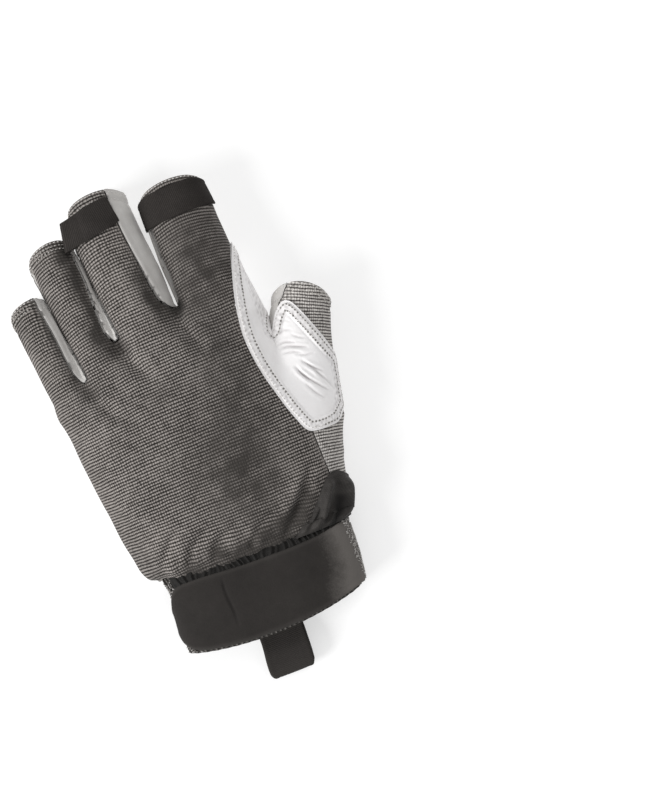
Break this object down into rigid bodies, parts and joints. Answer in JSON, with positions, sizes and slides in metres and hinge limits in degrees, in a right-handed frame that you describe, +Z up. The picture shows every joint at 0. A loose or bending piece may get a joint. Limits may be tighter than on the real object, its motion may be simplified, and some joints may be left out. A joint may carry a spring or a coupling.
{
  "type": "climbing glove",
  "caption": "Fingerless left-hand glove with knit back, leather palm and thumb patch, pull tabs, elastic cuff, wrist strap and hang loop.",
  "frame": {"origin": "on the flattened palm leather where the glove rests, below the middle of the palm", "axes": "+Y from the wrist to the finger ends, +X to the thumb's side, +Z up through the back of the hand"},
  "size_m": [0.134, 0.2264, 0.0327],
  "materials": {
    "back_knit": "matte warm grey ribbed knit",
    "side_knit": "matte lighter grey ribbed knit",
    "palm_leather": "soft pale warm grey leather with fine creases",
    "patch_leather": "soft off-white leather, double stitched",
    "tab_webbing": "matte near-black webbing",
    "stretch_cloth": "black puckered stretch cloth",
    "rib_elastic": "charcoal ribbed elastic",
    "strap_fabric": "brushed near-black strap",
    "loop_webbing": "matte near-black webbing"
  },
  "bodies": {
    "root": {"back_panel": "back_knit", "palm_panel": "palm_leather", "thumb_side_panel": "side_knit", "thumb_patch": "patch_leather", "index_pull_tab": "tab_webbing", "middle_pull_tab": "tab_webbing", "wrist_fold": "stretch_cloth", "cuff": "rib_elastic", "wrist_strap": "strap_fabric", "hang_loop": "loop_webbing"}
  },
  "joints": []
}
